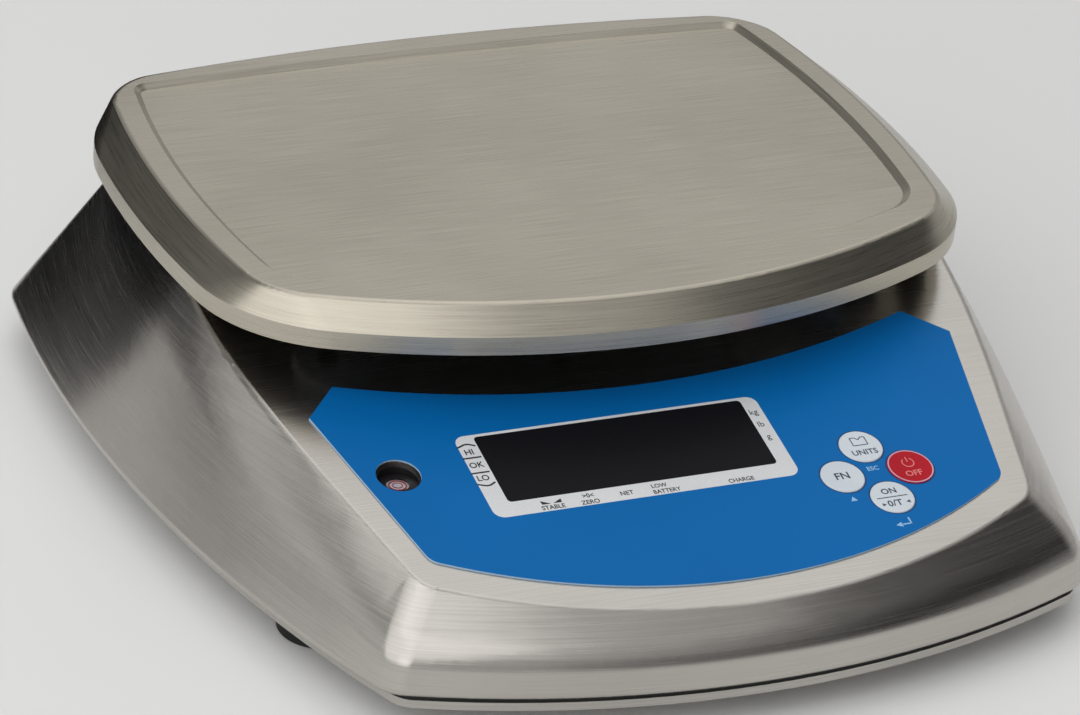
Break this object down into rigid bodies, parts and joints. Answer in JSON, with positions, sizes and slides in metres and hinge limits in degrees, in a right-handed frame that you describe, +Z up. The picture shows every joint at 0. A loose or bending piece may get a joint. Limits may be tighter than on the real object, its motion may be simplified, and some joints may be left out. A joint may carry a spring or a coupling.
{
  "type": "weighing scale",
  "caption": "Low bench weighing scale in stainless steel: bowed platter on a load cell, sloped front panel with display, keys and bubble level, and levelling feet.",
  "frame": {"origin": "on the floor, at the middle of the housing's footprint", "axes": "+X to the right as the panel is read, +Y from the front panel to the back, +Z up"},
  "size_m": [0.2632, 0.2646, 0.0774],
  "materials": {
    "cover_steel": "brushed stainless sheet",
    "platter_steel": "brushed stainless sheet",
    "plated_steel": "bright zinc",
    "print": "printed polyester, satin",
    "lens": "smoked acrylic",
    "digits": "cast epoxy",
    "board": "solder resist",
    "chip": "moulded epoxy",
    "white_key": "moulded",
    "red_key": "moulded",
    "level_glass": "acrylic",
    "black_plastic": "moulded",
    "aluminium": "milled",
    "cast": "die cast",
    "rubber": "moulded",
    "sealant": "silicone",
    "battery_case": "ABS",
    "cable_jacket": "PVC"
  },
  "bodies": {
    "base": {"housing_cover": "cover_steel", "base_plate": "plated_steel", "base_seal": "rubber", "cover_screws": "plated_steel", "cover_nuts": "plated_steel", "overlay": "print", "display_lens": "lens", "display_digits": "digits", "display_board": "board", "display_standoffs": "plated_steel", "display_screws": "plated_steel", "keypad_spacer": "sealant", "keypad_board": "board", "key_domes": "plated_steel", "level_holder": "black_plastic", "level_vial": "level_glass", "post_boot": "rubber", "boot_clamp": "plated_steel", "load_cell": "aluminium", "gauge_potting": "sealant", "cell_seat": "aluminium", "cell_bolts": "plated_steel", "overload_stop": "plated_steel", "stop_nut": "plated_steel", "main_board": "board", "board_parts": "chip", "board_standoffs": "plated_steel", "board_screws": "plated_steel", "battery": "battery_case", "battery_terminals": "plated_steel", "battery_strap": "plated_steel", "strap_screws": "plated_steel", "charger_socket": "black_plastic", "socket_nut": "plated_steel", "foot_inserts": "plated_steel", "cell_cable": "cable_jacket", "display_ribbon": "cable_jacket", "battery_leads": "cable_jacket"},
    "platform": {"pan_support": "cast", "pan_pads": "rubber", "load_post": "aluminium", "post_bolts": "plated_steel"},
    "platter": {"platter": "platter_steel"},
    "key_units": {"key_units": "white_key"},
    "key_function": {"key_function": "white_key"},
    "key_zero": {"key_zero": "white_key"},
    "key_off": {"key_off": "red_key"},
    "foot_nut_front_left": {"foot_nut_front_left": "plated_steel"},
    "foot_front_left": {"foot_pad_front_left": "rubber", "foot_stud_front_left": "plated_steel"},
    "foot_nut_front_right": {"foot_nut_front_right": "plated_steel"},
    "foot_front_right": {"foot_pad_front_right": "rubber", "foot_stud_front_right": "plated_steel"},
    "foot_nut_back_left": {"foot_nut_back_left": "plated_steel"},
    "foot_back_left": {"foot_pad_back_left": "rubber", "foot_stud_back_left": "plated_steel"},
    "foot_nut_back_right": {"foot_nut_back_right": "plated_steel"},
    "foot_back_right": {"foot_pad_back_right": "rubber", "foot_stud_back_right": "plated_steel"},
    "socket_cap": {"socket_cap": "rubber"}
  },
  "joints": [
    {"name": "platform_deflection", "type": "slide", "parent": "base", "child": "platform", "axis": [0, 0, 1], "range_m": [-0.0003, 0], "stiffness_N_per_m": 200000, "springref_m": 0.0001, "deforming": ["load_cell", "post_boot"]},
    {"name": "platter_lift", "type": "slide", "parent": "platform", "child": "platter", "axis": [0, 0, 1], "range_m": [0, 0.06]},
    {"name": "key_units_press", "type": "slide", "parent": "base", "child": "key_units", "axis": [0, -0.2096, 0.9778], "range_m": [-0.0004, 0], "stiffness_N_per_m": 2000, "springref_m": 0.0001},
    {"name": "key_function_press", "type": "slide", "parent": "base", "child": "key_function", "axis": [0, -0.2096, 0.9778], "range_m": [-0.0004, 0], "stiffness_N_per_m": 2000, "springref_m": 0.0001},
    {"name": "key_zero_press", "type": "slide", "parent": "base", "child": "key_zero", "axis": [0, -0.2096, 0.9778], "range_m": [-0.0004, 0], "stiffness_N_per_m": 2000, "springref_m": 0.0001},
    {"name": "key_off_press", "type": "slide", "parent": "base", "child": "key_off", "axis": [0, -0.2096, 0.9778], "range_m": [-0.0004, 0], "stiffness_N_per_m": 2000, "springref_m": 0.0001},
    {"name": "foot_travel_front_left", "type": "slide", "parent": "base", "child": "foot_nut_front_left", "axis": [0, 0, -1], "range_m": [0, 0.0061]},
    {"name": "foot_turn_front_left", "type": "hinge", "parent": "foot_nut_front_left", "child": "foot_front_left", "pos_m": [-0.09814, -0.0586, 0], "axis": [0, 0, -1], "range_deg": [0, 2160]},
    {"name": "foot_travel_front_right", "type": "slide", "parent": "base", "child": "foot_nut_front_right", "axis": [0, 0, -1], "range_m": [0, 0.0061]},
    {"name": "foot_turn_front_right", "type": "hinge", "parent": "foot_nut_front_right", "child": "foot_front_right", "pos_m": [0.09814, -0.0586, 0], "axis": [0, 0, -1], "range_deg": [0, 2160]},
    {"name": "foot_travel_back_left", "type": "slide", "parent": "base", "child": "foot_nut_back_left", "axis": [0, 0, -1], "range_m": [0, 0.0061]},
    {"name": "foot_turn_back_left", "type": "hinge", "parent": "foot_nut_back_left", "child": "foot_back_left", "pos_m": [-0.1091, 0.094, 0], "axis": [0, 0, -1], "range_deg": [0, 2160]},
    {"name": "foot_travel_back_right", "type": "slide", "parent": "base", "child": "foot_nut_back_right", "axis": [0, 0, -1], "range_m": [0, 0.0061]},
    {"name": "foot_turn_back_right", "type": "hinge", "parent": "foot_nut_back_right", "child": "foot_back_right", "pos_m": [0.1091, 0.094, 0], "axis": [0, 0, -1], "range_deg": [0, 2160]},
    {"name": "socket_cap_pull", "type": "slide", "parent": "base", "child": "socket_cap", "axis": [0, 1, 0], "range_m": [0, 0.012]}
  ],
  "couplings": [
    {"joint": "foot_travel_front_left", "follows": "foot_turn_front_left", "m_per_rad": 0.00015915},
    {"joint": "foot_travel_front_right", "follows": "foot_turn_front_right", "m_per_rad": 0.00015915},
    {"joint": "foot_travel_back_left", "follows": "foot_turn_back_left", "m_per_rad": 0.00015915},
    {"joint": "foot_travel_back_right", "follows": "foot_turn_back_right", "m_per_rad": 0.00015915}
  ]
}
